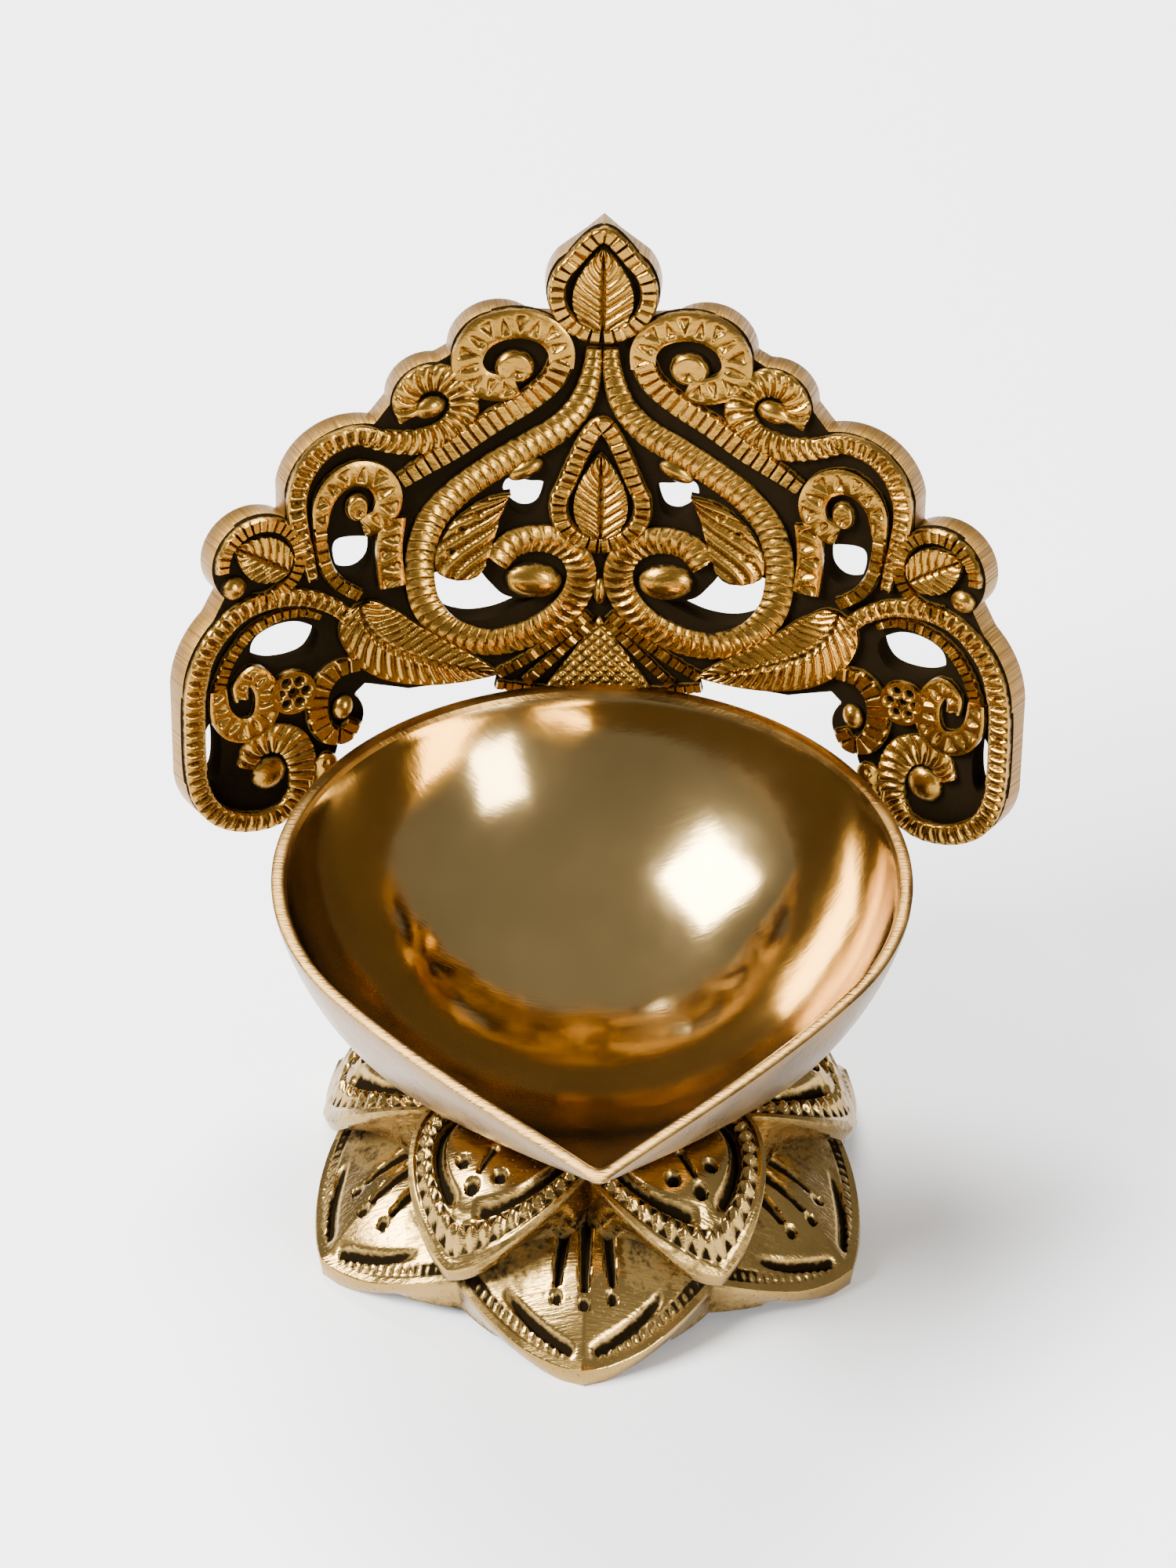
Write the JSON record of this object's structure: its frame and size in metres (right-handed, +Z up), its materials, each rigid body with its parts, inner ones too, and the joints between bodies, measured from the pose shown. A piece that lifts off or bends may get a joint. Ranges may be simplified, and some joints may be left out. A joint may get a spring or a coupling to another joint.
{
  "type": "diya oil lamp",
  "caption": "Pointed oil bowl on a lotus-petal base with a curved openwork scroll plate rising behind the bowl.",
  "frame": {"origin": "middle of the lamp's footprint on the table, under the bowl", "axes": "+Z up, -Y towards the bowl's spout (the front), +X to the right seen from the front"},
  "size_m": [0.1066, 0.1081, 0.1118],
  "materials": {
    "base_brass": "polished with dark recesses",
    "bowl_brass": "polished",
    "plate_brass": "antiqued, filed edges",
    "strap_brass": "satin",
    "fastener_steel": "zinc plated"
  },
  "bodies": {
    "root": {"lotus_base": "base_brass", "oil_bowl": "bowl_brass", "back_plate": "plate_brass", "plate_strap": "strap_brass", "clamp_stud": "strap_brass", "plain_washer": "fastener_steel", "spring_washer": "fastener_steel", "hex_nut": "fastener_steel"}
  },
  "joints": []
}
